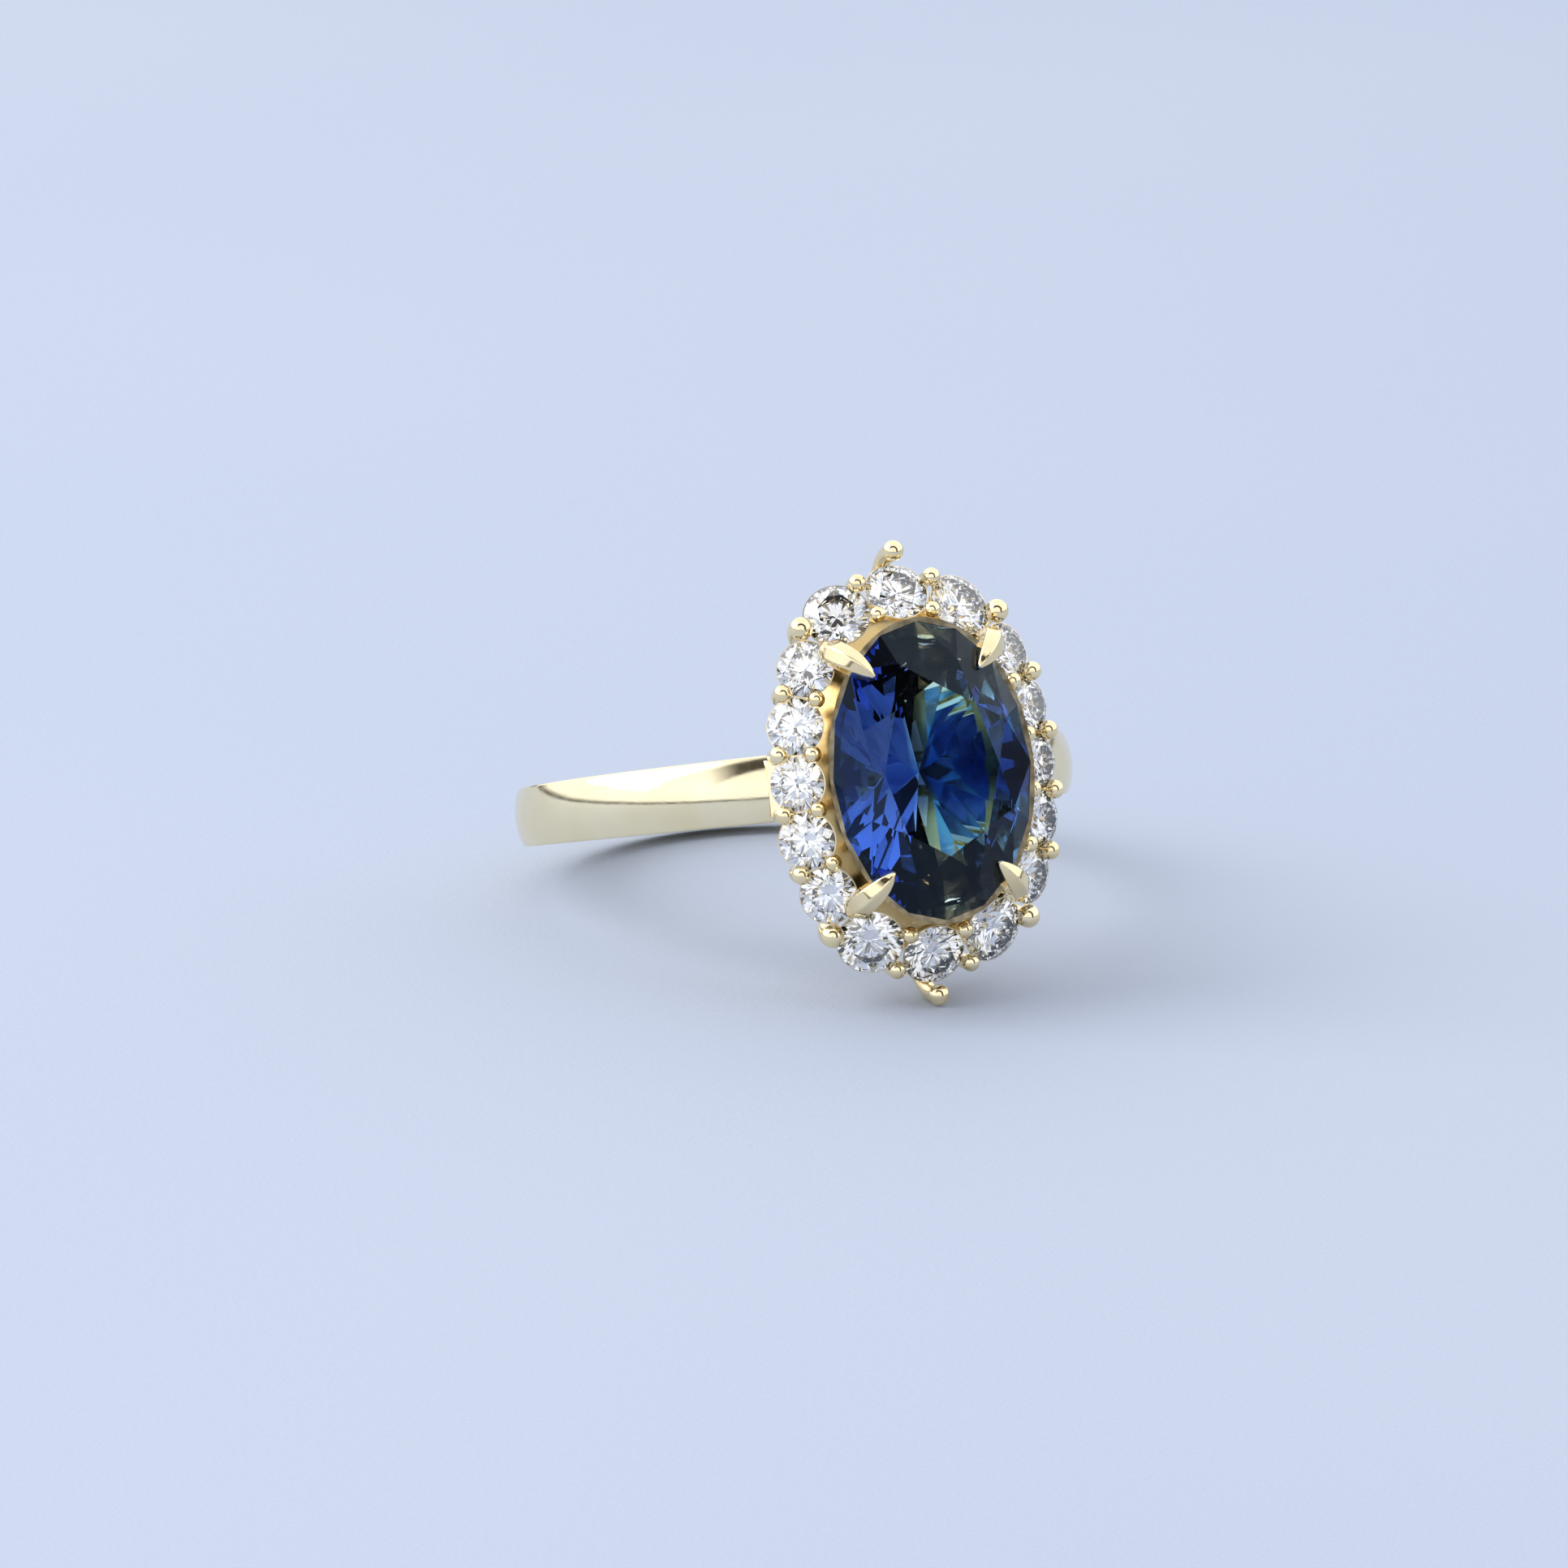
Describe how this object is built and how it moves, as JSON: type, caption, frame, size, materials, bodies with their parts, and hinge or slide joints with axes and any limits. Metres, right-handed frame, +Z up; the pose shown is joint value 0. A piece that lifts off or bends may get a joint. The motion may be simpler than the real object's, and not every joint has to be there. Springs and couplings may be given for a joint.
{
  "type": "engagement ring",
  "caption": "Polished yellow-gold ring with an oval blue centre stone in four pointed claws, inside a halo of round colourless stones held by ball-tipped claws.",
  "frame": {"origin": "middle of the underside box of the ring lying on its side: the table under it is at Z 0", "axes": "+Z up off the table, -Y out of the head's face, +X across the head; the finger axis leans from +Z towards +Y by 17.5 degrees"},
  "size_m": [0.0192, 0.0246, 0.015],
  "materials": {
    "gold_band": "high polish, pale 14 carat yellow gold",
    "gold_gallery": "polished as far as a brush reaches, deeper yellow in the recesses",
    "gold_claws": "burnished bead tips, high polish",
    "blue_stone": "cut and polished, transparent deep blue",
    "clear_stones": "cut and polished, transparent and colourless"
  },
  "bodies": {
    "root": {"band": "gold_band", "bridge": "gold_band", "centre_claw_1": "gold_claws", "centre_claw_2": "gold_claws", "centre_claw_3": "gold_claws", "centre_claw_4": "gold_claws", "centre_collet": "gold_gallery", "centre_stone": "blue_stone", "halo_gallery": "gold_gallery", "halo_stone_01": "clear_stones", "halo_stone_02": "clear_stones", "halo_stone_03": "clear_stones", "halo_stone_04": "clear_stones", "halo_stone_05": "clear_stones", "halo_stone_06": "clear_stones", "halo_stone_07": "clear_stones", "halo_stone_08": "clear_stones", "halo_stone_09": "clear_stones", "halo_stone_10": "clear_stones", "halo_stone_11": "clear_stones", "halo_stone_12": "clear_stones", "halo_stone_13": "clear_stones", "halo_stone_14": "clear_stones", "halo_stone_15": "clear_stones", "halo_stone_16": "clear_stones", "inner_claw_01": "gold_claws", "inner_claw_02": "gold_claws", "inner_claw_03": "gold_claws", "inner_claw_04": "gold_claws", "inner_claw_05": "gold_claws", "inner_claw_06": "gold_claws", "inner_claw_07": "gold_claws", "inner_claw_08": "gold_claws", "inner_claw_09": "gold_claws", "inner_claw_10": "gold_claws", "inner_claw_11": "gold_claws", "inner_claw_12": "gold_claws", "lower_rail": "gold_gallery", "outer_claw_01": "gold_claws", "outer_claw_02": "gold_claws", "outer_claw_03": "gold_claws", "outer_claw_04": "gold_claws", "outer_claw_05": "gold_claws", "outer_claw_06": "gold_claws", "outer_claw_07": "gold_claws", "outer_claw_08": "gold_claws", "outer_claw_09": "gold_claws", "outer_claw_10": "gold_claws", "outer_claw_11": "gold_claws", "outer_claw_12": "gold_claws", "outer_claw_13": "gold_claws", "outer_claw_14": "gold_claws", "outer_claw_15": "gold_claws", "outer_claw_16": "gold_claws", "tip_claw_far": "gold_claws", "tip_claw_near": "gold_claws"}
  },
  "joints": []
}
